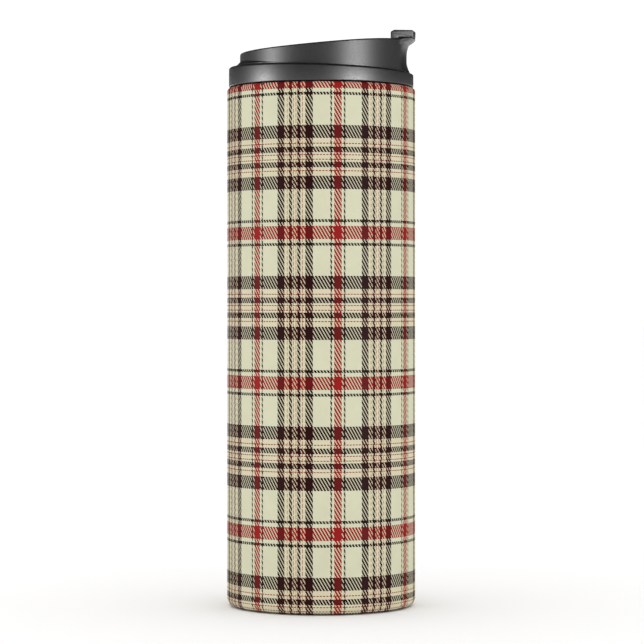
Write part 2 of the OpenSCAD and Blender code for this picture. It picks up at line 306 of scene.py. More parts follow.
def slab(bm, outline, half, edge, steps=4, pull=None):
    """A plate whose side outline of (x, z) runs from y = -half to y = half, with its long edges rounded by
    edge. pull(x, y) gives the y of a point of the outline at x, where the plate would have y."""
    stations = [(half - edge + edge * math.sin(a), edge * (1 - math.cos(a)))
                for a in quarter(steps)]
    inner = [half * k / 8 for k in range(8) if half * k / 8 < half - edge - 0.1]
    rows = [(-y, d) for y, d in reversed(stations)] + [(-y, 0) for y in reversed(inner[1:])]
    rows += [(y, 0) for y in inner] + stations
    rings = []
    for y, depth in rows:
        points = inset(outline, depth) if depth > 0 else outline
        rings.append([bm.verts.new(Vector((x, pull(x, y) if pull else y, z)) * MM) for x, z in points])
    bridge(bm, rings, closed=False)
    bm.faces.new(rings[0])
    bm.faces.new(rings[-1])


def united(name, parts):
    """One mesh, as a bmesh, from closed parts that run into each other."""
    pieces = [new_piece(f"{name}_{k}", part) for k, part in enumerate(parts)]
    for other in pieces[1:]:
        modifier = pieces[0].modifiers.new("union", "BOOLEAN")
        modifier.operation = "UNION"
        modifier.solver = "EXACT"
        modifier.object = other
    bpy.context.view_layer.update()
    shape = pieces[0].evaluated_get(bpy.context.evaluated_depsgraph_get())
    bm = bmesh.new()
    bm.from_mesh(shape.to_mesh())
    shape.to_mesh_clear()
    for piece in pieces:
        mesh = piece.data
        bpy.data.objects.remove(piece)
        bpy.data.meshes.remove(mesh)
    close_up(bm)
    return bm


def pierced_plate(bm, rim_top, rim_bottom, z_top, z_bottom, holes, edge):
    """The two faces of a round plate between two rings of vertices, with round holes of (x, radius) whose
    edges are rounded by edge."""
    for rim, z, side in ((rim_top, z_top, -1), (rim_bottom, z_bottom, 1)):
        edges = [bm.edges.get(pair) or bm.edges.new(pair) for pair in zip(rim, rim[1:] + rim[:1])]
        for x, radius in holes:
            loop = []
            for angle in even_angles(SMALL_STEPS):
                r = radius + edge
                loop.append(bm.verts.new(Vector((x + r * math.cos(angle), r * math.sin(angle), z)) * MM))
            edges += [bm.edges.new(pair) for pair in zip(loop, loop[1:] + loop[:1])]
        bmesh.ops.triangle_fill(bm, use_beauty=True, edges=edges, normal=(0, 0, -side))
    for x, radius in holes:
        bends = quarter(4)
        round_off = [(radius + edge * (1 - math.sin(a)), edge * (1 - math.cos(a))) for a in bends]
        wall = [(r, z_top - drop) for r, drop in round_off]
        wall += [(r, z_bottom + drop) for r, drop in reversed(round_off)]
        rings = []
        for r, z in wall:
            rings.append([bm.verts.new(Vector((x + r * math.cos(a), r * math.sin(a), z)) * MM)
                          for a in even_angles(SMALL_STEPS)])
        bridge(bm, rings, closed=False)


# ---- materials ---------------------------------------------------------------------------------------------


def add_node(tree, kind, settings=None, inputs=None):
    """Adds one node with its settings. An input is a value, or the output socket that it is linked to."""
    made = tree.nodes.new(kind)
    for key, value in (settings or {}).items():
        setattr(made, key, value)
    for key, value in (inputs or {}).items():
        if isinstance(value, bpy.types.NodeSocket):
            tree.links.new(value, made.inputs[key])
        else:
            made.inputs[key].default_value = value
    return made


def new_material(name, shader_inputs):
    """A material with one Principled shader, and its tree and shader."""
    material = bpy.data.materials.new(name)
    material.use_nodes = True
    tree = material.node_tree
    tree.nodes.clear()
    shader = add_node(tree, "ShaderNodeBsdfPrincipled", None, shader_inputs)
    output = add_node(tree, "ShaderNodeOutputMaterial")
    tree.links.new(shader.outputs["BSDF"], output.inputs["Surface"])
    return material, tree, shader


def math_node(tree, operation, first, second=None, third=None):
    """The result of one arithmetic step."""
    inputs = {0: first}
    if second is not None:
        inputs[1] = second
    if third is not None:
        inputs[2] = third
    return add_node(tree, "ShaderNodeMath", {"operation": operation}, inputs).outputs[0]


def fill_ramp(ramp, stops, interpolation):
    """Sets a colour ramp's stops of (position, colour)."""
    ramp.interpolation = interpolation
    while len(ramp.elements) > 1:
        ramp.elements.remove(ramp.elements[-1])
    ramp.elements[0].position, ramp.elements[0].color = stops[0]
    for position, colour in stops[1:]:
        ramp.elements.new(position).color = colour


def add_bump(tree, shader, height, depth_mm, strength=1.0):
    """Bumps depth_mm deep on the shader."""
    bump = add_node(tree, "ShaderNodeBump", None,
                    {"Height": height, "Distance": depth_mm * MM, "Strength": strength})
    tree.links.new(bump.outputs["Normal"], shader.inputs["Normal"])


def mixed(tree, factor, first, second, blend="MIX"):
    """Two colours mixed by factor."""
    return add_node(tree, "ShaderNodeMix", {"data_type": "RGBA", "blend_type": blend},
                    {"Factor": factor, "A": first, "B": second}).outputs[2]


def noise_on(tree, place, scale, detail):
    """Noise at a place, with that many noise cells a metre."""
    noise = add_node(tree, "ShaderNodeTexNoise", None, {"Vector": place, "Scale": scale, "Detail": detail})
    return noise.outputs["Fac"]


def set_look(tree, shader, tone, roughness):
    """Links a tone and a roughness to the shader."""
    tree.links.new(tone, shader.inputs["Base Color"])
    tree.links.new(roughness, shader.inputs["Roughness"])


def fine_grain(tree, shader, size_mm, depth_mm):
    """A moulded grain: bumps size_mm across and depth_mm deep, as spark-eroded moulds leave."""
    place = add_node(tree, "ShaderNodeTexCoord").outputs["Object"]
    grain = add_node(tree, "ShaderNodeTexNoise", {"noise_dimensions": "3D"},
                     {"Vector": place, "Scale": 1 / (size_mm * MM), "Detail": 2.0, "Roughness": 0.6})
    add_bump(tree, shader, grain.outputs["Fac"], depth_mm)
    return grain.outputs["Fac"]


def spread(tree, value, low, high):
    """The value's range 0.3 to 0.7, as noise gives, spread over low to high."""
    inputs = {"Value": value, "From Min": 0.3, "From Max": 0.7, "To Min": low, "To Max": high}
    return add_node(tree, "ShaderNodeMapRange", None, inputs).outputs["Result"]


def printed_check(settings):
    """Transfer print under satin lacquer on drawn stainless steel. The lacquer is smooth with a faint orange
    peel, so the woven pattern is flat ink: a 2/2 twill of warp and weft threads in one list of stripes."""
    material, tree, shader = new_material("printed_twill_lacquer", {
        "Metallic": 0.0, "IOR": 1.45, "Specular IOR Level": 0.06,
    })
    uv = add_node(tree, "ShaderNodeUVMap", {"uv_map": "print"})
    split = add_node(tree, "ShaderNodeSeparateXYZ", None, {"Vector": uv.outputs["UV"]})
    half = settings.half_threads
    warp = math_node(tree, "MULTIPLY", split.outputs["X"], float(2 * half * settings.repeats_round))
    weft = math_node(tree, "DIVIDE", split.outputs["Y"], settings.thread_h)
    warp_thread = math_node(tree, "FLOOR", warp)
    weft_thread = math_node(tree, "FLOOR", weft)
    # half of the check, from the middle of a red band to the middle of the dark group: threads, colour
    stripes = [(7, "red"), (4, "cream"), (3, "olive"), (32, "cream"), (14, "dark"), (5, "sand"), (1, "wine"),
               (3, "sand"), (6, "dark"), (2, "sand"), (1, "wine"), (2, "sand")]
    stops, at = [], 0
    for threads, colour in stripes:
        stops.append((at / half, linear_of(getattr(settings, colour))))
        at += threads
    inks, lights = [], []
    starts = ((warp_thread, settings.warp_start), (weft_thread, settings.weft_start))
    for thread, start in starts:
        centre = math_node(tree, "ADD", thread, 0.5 - start)
        folded = math_node(tree, "PINGPONG", centre, float(half))
        share = math_node(tree, "DIVIDE", folded, float(half))
        ramp = add_node(tree, "ShaderNodeValToRGB", None, {"Fac": share})
        fill_ramp(ramp.color_ramp, stops, "CONSTANT")
        inks.append(ramp.outputs["Color"])
        grey = add_node(tree, "ShaderNodeRGBToBW", None, {"Color": ramp.outputs["Color"]})
        lights.append(grey.outputs["Val"])
    # each weft row steps the twill by one thread, and the darker ink prints a little wider than the lighter
    # the real twill is too fine to show, so its diagonal is drawn coarser than the threads of the stripes
    across = math_node(tree, "DIVIDE", warp, settings.weave_scale)
    down = math_node(tree, "FLOOR", math_node(tree, "DIVIDE", weft, settings.weave_scale))
    # a whole number of twills is added, because MODULO of a number below zero is negative
    diagonal = math_node(tree, "ADD", math_node(tree, "ADD", across, down), 4000.0)
    step = math_node(tree, "MODULO", diagonal, 4.0)
    gain = math_node(tree, "SUBTRACT", lights[0], lights[1])
    float_w = math_node(tree, "MULTIPLY_ADD", gain, settings.ink_spread, 2.0)
    weft_over = math_node(tree, "LESS_THAN", step, float_w)
    # two dark inks run together where they cross, into one solid tone nearer the darker one
    apart = math_node(tree, "GREATER_THAN", math_node(tree, "ABSOLUTE", gain), 0.3)
    even = math_node(tree, "MULTIPLY_ADD", gain, 2.0, 0.5)
    over = add_node(tree, "ShaderNodeMix", {"data_type": "FLOAT"}, {0: apart, 2: even, 3: weft_over})
    ink = mixed(tree, over.outputs[0], inks[0], inks[1])
    place = add_node(tree, "ShaderNodeTexCoord").outputs["Object"]
    shade = spread(tree, noise_on(tree, place, 160.0, 3.0), 0.97, 1.02)
    toned = mixed(tree, 1.0, ink, shade, "MULTIPLY")
    # orange peel of the lacquer, about 2 mm across
    peel = noise_on(tree, place, 480.0, 1.0)
    add_bump(tree, shader, peel, 0.006)
    set_look(tree, shader, toned, spread(tree, peel, 0.5, 0.58))
    return material


def linear_of(colour):
    """The colour property as RGBA. The property is linear already."""
    return (colour[0], colour[1], colour[2], 1.0)


def moulded_black(name, colour, roughness, grain_mm, depth_mm, level):
    """Injection-moulded polypropylene, black through the mass. The mould's fine spark-eroded grain breaks the
    highlights into a soft satin."""
    material, tree, shader = new_material(name, {"Metallic": 0.0, "IOR": 1.49, "Specular IOR Level": level})
    grain = fine_grain(tree, shader, grain_mm, depth_mm)
    place = add_node(tree, "ShaderNodeTexCoord").outputs["Object"]
    darker, lighter = linear_of([c * 0.85 for c in colour]), linear_of([min(1, c * 1.2) for c in colour])
    tone = mixed(tree, noise_on(tree, place, 70.0, 2.0), darker, lighter)
    set_look(tree, shader, tone, spread(tree, grain, roughness - 0.05, roughness + 0.06))
    return material


def brushed_steel(name, roughness, direction):
    """Stainless steel with fine scratches. direction is round for a turned piece, or flat for a spun disc."""
    material, tree, shader = new_material(name, {"Metallic": 1.0, "Anisotropic": 0.4})
    place = add_node(tree, "ShaderNodeTexCoord").outputs["Object"]
    split = add_node(tree, "ShaderNodeSeparateXYZ", None, {"Vector": place})
    square = math_node(tree, "ADD", math_node(tree, "POWER", split.outputs["X"], 2.0),
                       math_node(tree, "POWER", split.outputs["Y"], 2.0))
    radius = math_node(tree, "SQRT", square)
    across = radius if direction == "flat" else split.outputs["Z"]
    turn = math_node(tree, "ARCTAN2", split.outputs["Y"], split.outputs["X"])
    line = add_node(tree, "ShaderNodeCombineXYZ", None, {
        "X": math_node(tree, "MULTIPLY", across, 9000.0), "Y": math_node(tree, "MULTIPLY", turn, 1.5)})
    brush = noise_on(tree, line.outputs["Vector"], 1.0, 4.0)
    tone = mixed(tree, brush, linear("A9A8A5"), linear("D2D1CE"))
    set_look(tree, shader, tone, spread(tree, brush, roughness - 0.06, roughness + 0.1))
    add_bump(tree, shader, brush, 0.004, 0.6)
    return material


def plain_grained(name, low, high, roughness, metallic, size_mm, depth_mm):
    """A small inner piece: two close tones over a fine surface."""
    material, tree, shader = new_material(name, {"Metallic": metallic})
    grain = fine_grain(tree, shader, size_mm, depth_mm)
    tone = mixed(tree, spread(tree, grain, 0.0, 1.0), linear(low), linear(high))
    set_look(tree, shader, tone, spread(tree, grain, roughness - 0.05, roughness + 0.08))
    return material


def material_of(name, make, *values):
    """The material of that name, made once."""
    return bpy.data.materials.get(name) or make(name, *values)


def satin_black():
    """Lid, drinking wall and cap: satin black polypropylene. Its grain, 0.5 mm across, is drawn coarser than
    real so that it shows."""
    look = bpy.context.scene.flask_lid
    return material_of("satin_black_polypropylene", moulded_black, list(look.black), look.roughness, 0.5,
                       0.018, look.shine)


def smooth_black():
    """Plug: the same plastic from a polished mould."""
    look = bpy.context.scene.flask_lid
    return material_of("smooth_black_polypropylene", moulded_black, list(look.black), 0.3, 0.8, 0.002, 0.5)


def seal_silicone():
    """Gasket and stoppers: soft food-grade silicone, matt with a faint bloom."""
    return material_of("grey_silicone", plain_grained, "2A2A2B", "363637", 0.55, 0.0, 0.5, 0.003)


# ---- flask -------------------------------------------------------------------------------------------------


def shell_outline():
    """Closed half section of the outer shell, counterclockwise from the inside of the foot."""
    inner_foot = FOOT_INNER_R
    return rounded([
        (inner_foot, BASE_HIGH.z - 0.3, 0.1), (inner_foot, 0, 0.5), (BODY_R, 0, FOOT_ROUND),
        (BODY_R, BODY_H, MOUTH_ROUND), (LINER_R, BODY_H, 0), (LINER_R, BODY_H - SHELL_T, 0),
        (BODY_R - SHELL_T, BODY_H - SHELL_T, MOUTH_ROUND - SHELL_T),
        (BODY_R - SHELL_T, SHELL_T, FOOT_ROUND - SHELL_T),
        (inner_foot + SHELL_T, SHELL_T, 0.2), (inner_foot + SHELL_T, BASE_HIGH.z - 0.3, 0.1),
    ], steps=10)


class FLASK_OT_shell(bpy.types.Operator):
    """Outer shell of drawn steel with the printed check"""

    bl_idname = "flask.shell"
    bl_label = "Printed Shell"

    def execute(self, context):
        outline = shell_outline()
        # distance along the outside, so that the print keeps its scale round the foot and the mouth
        reference = min(range(len(outline)),
                        key=lambda i: abs(outline[i][0] - BODY_R) + abs(outline[i][1] - FOOT_ROUND))
        along = [0.0] * len(outline)
        for i in range(reference + 1, len(outline)):
            along[i] = along[i - 1] + (Vector(outline[i]) - Vector(outline[i - 1])).length
        for i in range(reference - 1, -1, -1):
            along[i] = along[i + 1] - (Vector(outline[i]) - Vector(outline[i + 1])).length
        height = [FOOT_ROUND + value for value in along]
        bottom, top = -3.5, BODY_H + 2 * MOUTH_ROUND  # the print runs this far round the foot and the mouth
        steps = ROUND_STEPS
        bm = bmesh.new()
        print_map = bm.loops.layers.uv.new("print")
        rings = [ring_at(bm, outline, angle) for angle in even_angles(steps)]
        count = len(outline)
        for k in range(steps):
            ring, after = rings[k], rings[(k + 1) % steps]
            for i in range(count):
                j = (i + 1) % count
                face = bm.faces.new([ring[i], after[i], after[j], ring[j]])
                heights = (height[i], height[i], height[j] if j else height[i], height[j] if j else height[i])
                turns = (k / steps, (k + 1) / steps, (k + 1) / steps, k / steps)
                for loop, turn, h in zip(face.loops, turns, heights):
                    loop[print_map].uv = (turn, h)
                outside = bottom < height[i] < top and bottom < height[j] < top and j
                face.material_index = 0 if outside else 1
        bmesh.ops.recalc_face_normals(bm, faces=bm.faces)
        shell = new_piece("printed_shell", bm)
        shell.data.materials.append(printed_check(context.scene.flask_print))
        shell.data.materials.append(material_of("drawn_stainless_round", brushed_steel, 0.3, "round"))
        fit_piece(shell, None, "flask", "printed_coating", "outer_shell")
        return {"FINISHED"}


def thread_tree(material):
    """Node tree of a screw thread: helical ridges of a trapezoid section that run out at both ends."""
    tree = bpy.data.node_groups.new("screw_thread", "GeometryNodeTree")
    sizes = [("Root Radius", 0.03), ("Lead", 0.008), ("Turns", 0.9), ("Root Width", 0.0019),
             ("Crest Width", 0.0008), ("Ridge Height", 0.0012), ("First Height", 0.18)]
    for name, value in sizes:
        tree.interface.new_socket(name, in_out="INPUT", socket_type="NodeSocketFloat").default_value = value
    tree.interface.new_socket("Starts", in_out="INPUT", socket_type="NodeSocketInt").default_value = 2
    tree.interface.new_socket("Geometry", in_out="OUTPUT", socket_type="NodeSocketGeometry")
    given = add_node(tree, "NodeGroupInput").outputs
    rise = math_node(tree, "MULTIPLY", given["Lead"], given["Turns"])
    spiral = add_node(tree, "GeometryNodeCurveSpiral", None, {
        "Resolution": 96, "Rotations": given["Turns"], "Start Radius": given["Root Radius"],
        "End Radius": given["Root Radius"], "Height": rise})
    upright = add_node(tree, "GeometryNodeSetCurveNormal", {"mode": "Z_UP"},
                       {"Curve": spiral.outputs["Curve"]})
    along = add_node(tree, "GeometryNodeSplineParameter").outputs["Factor"]
    to_end = math_node(tree, "MINIMUM", along, math_node(tree, "SUBTRACT", 1.0, along))
    grow = math_node(tree, "MINIMUM", math_node(tree, "MULTIPLY_ADD", to_end, 12.0, 0.12), 1.0)
    tapered = add_node(tree, "GeometryNodeSetCurveRadius", None,
                       {"Curve": upright.outputs["Curve"], "Radius": grow})
    profile = add_node(tree, "GeometryNodeCurvePrimitiveQuadrilateral", {"mode": "TRAPEZOID"}, {
        "Bottom Width": given["Root Width"], "Top Width": given["Crest Width"], "Offset": 0.0,
        "Height": given["Ridge Height"]})
    turned = add_node(tree, "GeometryNodeTransform", None, {
        "Geometry": profile.outputs["Curve"], "Rotation": (0.0, 0.0, math.pi / 2)})
    ridge = add_node(tree, "GeometryNodeCurveToMesh", None, {
        "Curve": tapered.outputs["Curve"], "Profile Curve": turned.outputs["Geometry"], "Fill Caps": True,
        "Scale": grow})
    marks = add_node(tree, "GeometryNodeMeshLine", {"mode": "OFFSET"},
                     {"Count": given["Starts"], "Offset": (0.0, 0.0, 0.0)})
    index = add_node(tree, "GeometryNodeInputIndex").outputs["Index"]
    turn = math_node(tree, "DIVIDE", math_node(tree, "MULTIPLY", index, 2 * math.pi), given["Starts"])
    heading = add_node(tree, "ShaderNodeCombineXYZ", None, {"Z": turn})
    copies = add_node(tree, "GeometryNodeInstanceOnPoints", None, {
        "Points": marks.outputs["Mesh"], "Instance": ridge.outputs["Mesh"],
        "Rotation": heading.outputs["Vector"]})
    lift = add_node(tree, "ShaderNodeCombineXYZ", None, {"Z": given["First Height"]})
    placed = add_node(tree, "GeometryNodeTransform", None, {
        "Geometry": copies.outputs["Instances"], "Translation": lift.outputs["Vector"]})
    real = add_node(tree, "GeometryNodeRealizeInstances", None, {"Geometry": placed.outputs["Geometry"]})
    finish = add_node(tree, "GeometryNodeSetMaterial", None,
                      {"Geometry": real.outputs["Geometry"], "Material": material})
    output = add_node(tree, "NodeGroupOutput")
    tree.links.new(finish.outputs["Geometry"], output.inputs["Geometry"])
    return tree


def thread_mesh(material, values):
    """The ridges of a screw thread as a bmesh. values are the tree's inputs by name."""
    holder = bpy.data.objects.new("thread_holder", bpy.data.meshes.new("thread_holder"))
    bpy.context.scene.collection.objects.link(holder)
    modifier = holder.modifiers.new("thread", "NODES")
    tree = thread_tree(material)
    modifier.node_group = tree
    for item in tree.interface.items_tree:
        if item.in_out == "INPUT" and item.name in values:
            modifier[item.identifier] = values[item.name]
    bpy.context.view_layer.update()
    graph = bpy.context.evaluated_depsgraph_get()
    mesh = bpy.data.meshes.new_from_object(holder.evaluated_get(graph), depsgraph=graph)
    bpy.data.objects.remove(holder)
    bpy.data.node_groups.remove(tree)
    part = bmesh.new()
    part.from_mesh(mesh)
    bpy.data.meshes.remove(mesh)
    close_up(part)
    return part


class FLASK_OT_liner(bpy.types.Operator):
    """Inner liner with the neck thread, its base, and the pieces in the vacuum"""

    bl_idname = "flask.liner"
    bl_label = "Inner Liner"

    def execute(self, context):
        steel = material_of("polished_stainless_liner", brushed_steel, 0.22, "round")
        inner = LINER_R - LINER_T
        bm = bmesh.new()
        lathe(bm, rounded([(inner, LINER_LOW.z, 0), (LINER_R, LINER_LOW.z, 0), (LINER_R, BODY_H, 0),
                           (inner, BODY_H, 0.3)]))
        merge(bm, thread_mesh(steel, {
            "Root Radius": (inner + 0.2) * MM, "Lead": THREAD_LEAD * MM, "Ridge Height": -1.1 * MM,
            "First Height": (PLUG_LOW.z + THREAD_START) * MM}))
        liner = new_piece("inner_liner_threaded", bm)
        fit_piece(liner, steel, "flask", "liner_steel", "inner_liner")
        disc = material_of("spun_stainless_disc", brushed_steel, 0.26, "flat")
        foil = material_of("bright_copper_foil", plain_grained, "B5714A", "D0906A", 0.25, 1.0, 3.0, 0.02)
        plain = {
            "liner_base": disc, "radiation_foil": foil,
            "getter_holder": material_of("drawn_stainless_round", brushed_steel, 0.3, "round"),
            "getter_pellet": material_of("sintered_getter", plain_grained, "3C3E42", "5A5C60", 0.6, 0.8, 0.3,
                                         0.01),
            "vacuum_seal": material_of("solder_glass_bead", plain_grained, "4A4232", "6A5F48", 0.15, 0.0, 0.6,
                                       0.002),
        }
        for node, material in plain.items():
            dress_node(node, material)
        return {"FINISHED"}


def dress_node(node, material):
    """Gives a carried-over CAD node its material."""
    mesh = frame["nodes"][node].data
    if not mesh.materials:
        mesh.materials.append(material)
    for k in range(len(mesh.materials)):
        mesh.materials[k] = material


class FLASK_OT_base(bpy.types.Operator):
    """Closing base and the spun cover disc under the flask"""

    bl_idname = "flask.base"
    bl_label = "Base"

    def execute(self, context):
        bm = bmesh.new()
        edge = COVER_HIGH.x
        lathe(bm, rounded([
            (0, COVER_LOW.z + 0.2, 0), (edge - 4.5, COVER_LOW.z + 0.2, 1.0), (edge - 3.6, COVER_LOW.z, 1.0),
            (edge, COVER_LOW.z, 0.2), (edge, COVER_HIGH.z, 0), (0, COVER_HIGH.z, 0),
        ]))
        cover = new_piece("spun_base_cover", bm)
        disc = material_of("spun_stainless_disc", brushed_steel, 0.26, "flat")
        fit_piece(cover, disc, "flask", "cover_steel", "base_cover")
        dress_node("outer_base", material_of("drawn_stainless_round", brushed_steel, 0.3, "round"))
        return {"FINISHED"}


# ---- lid ---------------------------------------------------------------------------------------------------


def shoulder_height(r, angle):
    """Height of the seam plane, which falls towards the drinking side."""
    return SHOULDER_Z - r * math.cos(angle) * SHOULDER_SLOPE


def back_share(angle):
    """1 at the hinge side, 0 from the sides to the front."""
    return smooth_step(math.cos(math.radians(105)), math.cos(math.radians(155)), math.cos(angle))


def seam_radius(angle):
    """Where the drinking wall's foot meets the collar's shoulder. At the back the foot flares out to it."""
    outer = wall_radius(WALL_R, angle)
    return outer + back_share(angle) * max(0.0, FLARE_R - outer)


def collar_outline(angle):
    """Section of the collar: rounded foot, upright side, round shoulder, seam groove, bore and web."""
    seam = seam_radius(angle) + 0.22
    seam_z = shoulder_height(seam, angle) + 1.0
    edge_z = shoulder_height(COLLAR_R, angle) + 0.42
    bore = wall_radius(WALL_R + 0.05, angle)
    web_r = PLUG_R - PLUG_T
    edge_r = 0.6 + 0.35 * back_share(angle)
    return rounded([
        (SKIRT_R, COLLAR_LOW.z, 0.2), (COLLAR_R, COLLAR_LOW.z, 0.35), (COLLAR_R, edge_z, edge_r),
        (seam, seam_z, 0.12), (seam, seam_z - 0.7, 0), (bore, seam_z - 0.7, 0), (bore, WEB_TOP, 0.2),
        (web_r, WEB_TOP, 0.2), (web_r, WEB_Z, 0.2), (SKIRT_R, WEB_Z, 0.2),
    ])


class FLASK_OT_collar(bpy.types.Operator):
    """Screw collar of the lid, with the silicone gasket under it"""

    bl_idname = "flask.collar"
    bl_label = "Lid Collar"

    def execute(self, context):
        bm = bmesh.new()
        revolve(bm, collar_outline, even_angles(ROUND_STEPS))
        close_up(bm)
        collar = new_piece("screw_collar", bm, crease=40)
        fit_piece(collar, satin_black(), "lid", "satin_black", "lid_collar")
        bm = bmesh.new()
        low, high = GASKET_LOW.z, GASKET_HIGH.z
        inner, outer = PLUG_R + 0.05, GASKET_HIGH.x
        lathe(bm, rounded([
            (inner, low + 0.5, 0.2), (inner + 0.8, low, 0.25), (inner + 1.5, low + 0.35, 0.15),
            (inner + 2.1, low, 0.25), (outer - 0.2, low + 0.4, 0.2), (outer, high, 0.2), (inner, high, 0.2),
        ]))
        gasket = new_piece("mouth_gasket", bm)
        fit_piece(gasket, seal_silicone(), "lid_seal", "seal_silicone", "lid_gasket")
        return {"FINISHED"}


def front_share(angle, soft_deg):
    """1 in the finger cove and under the thumb tab, 0 on the plain wall, with a blend of soft_deg between."""
    turned = abs((angle + math.pi) % (2 * math.pi) - math.pi)
    soft = math.radians(soft_deg)
    return 1 - smooth_step(COVE_HALF_ANGLE - soft, COVE_HALF_ANGLE + soft, turned)


def front_swell(z, rim, angle):
    """How far the front stands out from the plain wall: the hollow, and the lip that overhangs it."""
    front = WALL_OFFSET + WALL_R
    middle = (SHOULDER_Z + rim) / 2 - 0.8
    hollow_r = 11.7
    lip_foot = rim - 1.8
    lip_full = rim - 0.45
    level = min(z, lip_foot)
    hollow = hollow_r - 0.5 - math.sqrt(hollow_r**2 - (level - middle) ** 2)
    out = hollow * front_share(angle, COVE_SOFT_DEG)
    if z > lip_foot:
        t = min(1.0, (z - lip_foot) / (lip_full - lip_foot))
        nose = 0.45 * t + 0.55 * math.sqrt(1 - (1 - t) ** 2)
        out += (LIP_R - front - hollow) * nose * front_share(angle, LIP_SOFT_DEG)
    return out


def wall_outline(angle):
    """Section of the drinking wall: foot, outside with the cove, rim, inside and the deck's edge."""
    outer = wall_radius(WALL_R, angle)
    inner = wall_radius(WALL_R - WALL_T, angle)
    rim = rim_height(outer * math.cos(angle))
    rim += (TAB_Z - LIP_GAP - rim) * front_share(angle, LIP_SOFT_DEG)
    foot_z = shoulder_height(FLARE_R, angle) + 1.12
    flare = seam_radius(angle) - outer
    points = [(inner, WEB_TOP), (outer, WEB_TOP), (outer, foot_z - 0.5)]
    points += [(outer + flare * 0.97, foot_z - 0.02), (outer + flare, foot_z + 0.1)]
    start = foot_z + 0.1 + flare
    turn_r = 0.55 - 0.3 * front_share(angle, LIP_SOFT_DEG)
    for k in range(WALL_ROWS + 1):
        z = rim - turn_r - (rim - turn_r - start) * (1 - k / WALL_ROWS) ** 1.5
        points.append((outer + front_swell(z, rim, angle), z))
    top_r = outer + front_swell(rim - turn_r, rim, angle)
    for a in quarter(8)[1:]:
        points.append((top_r - turn_r * (1 - math.cos(a)), rim - turn_r * (1 - math.sin(a))))
    inside_r = 0.7
    for a in quarter(8):
        points.append((inner + inside_r * (1 - math.sin(a)), rim - inside_r * (1 - math.cos(a))))
    points.append((inner, DECK_Z + 1.2))
    for a in quarter(8)[1:]:
        points.append((inner - 1.2 * (1 - math.cos(a)), DECK_Z + 1.2 * (1 - math.sin(a))))
    return points


def front_fine_angles():
    """Angles of a whole turn, closer together round the cove."""
    fine, coarse = math.radians(0.5), math.radians(1.5)
    reach = math.radians(24)
    angles = [-reach + fine * k for k in range(int(round(2 * reach / fine)))]
    count = int(round((2 * math.pi - 2 * reach) / coarse))
    return angles + [reach + (2 * math.pi - 2 * reach) * k / count for k in range(count)]


def lug(side):
    """One hinge lug as a bmesh: an upright ear on the deck, with a round top about the pin."""
    start = ARM_HALF + FIT + 0.3
    thickness = PIN_HIGH.y - start
    foot = DECK_Z - 0.6
    arc = [(HINGE.x + BARREL_R * math.cos(a), HINGE.z + BARREL_R * math.sin(a))
           for a in [math.pi * k / 24 for k in range(25)]]
    outline = [(HINGE.x + BARREL_R + 0.9, foot), (HINGE.x + BARREL_R + 0.9, DECK_Z),
               (HINGE.x + BARREL_R + 0.25, DECK_Z + 0.35), (HINGE.x + BARREL_R, DECK_Z + 1.0)]
    outline += arc
    outline += [(HINGE.x - BARREL_R, DECK_Z + 1.0), (HINGE.x - BARREL_R - 0.25, DECK_Z + 0.35),
                (HINGE.x - BARREL_R - 0.9, DECK_Z), (HINGE.x - BARREL_R - 0.9, foot)]
    part = bmesh.new()
    slab(part, outline, thickness / 2, 0.35)
    close_up(part)
    bmesh.ops.translate(part, verts=part.verts, vec=Vector((0, side * (start + thickness / 2), 0)) * MM)
    return part


class FLASK_OT_drinking_wall(bpy.types.Operator):
    """Drinking wall with its rising rim, finger cove, lip, deck, holes and hinge lugs"""

    bl_idname = "flask.drinking_wall"
    bl_label = "Drinking Wall"

    def execute(self, context):
        angles = front_fine_angles()
        bm = bmesh.new()
        rings = [ring_at(bm, wall_outline(angle), angle) for angle in angles]
        for ring, after in zip(rings, rings[1:] + rings[:1]):
            for k in range(len(ring) - 1):
                bm.faces.new([ring[k], after[k], after[k + 1], ring[k + 1]])
        rim_top = [ring[-1] for ring in rings]
        under = []
        for angle in angles:
            r = wall_radius(WALL_R - WALL_T, angle)
            corner = Vector((r * math.cos(angle), r * math.sin(angle), DECK_Z - DECK_T))
            under.append(bm.verts.new(corner * MM))
        feet = [ring[0] for ring in rings]
        bridge(bm, [under, feet], closed=False)
        pierced_plate(bm, rim_top, under, DECK_Z, DECK_Z - DECK_T, HOLES, 0.3)
        close_up(bm)
        for side in (1, -1):
            merge(bm, lug(side))
        wall = new_piece("drinking_wall", bm, crease=34)
        fit_piece(wall, satin_black(), "lid", "satin_black", "lid_top")
        return {"FINISHED"}


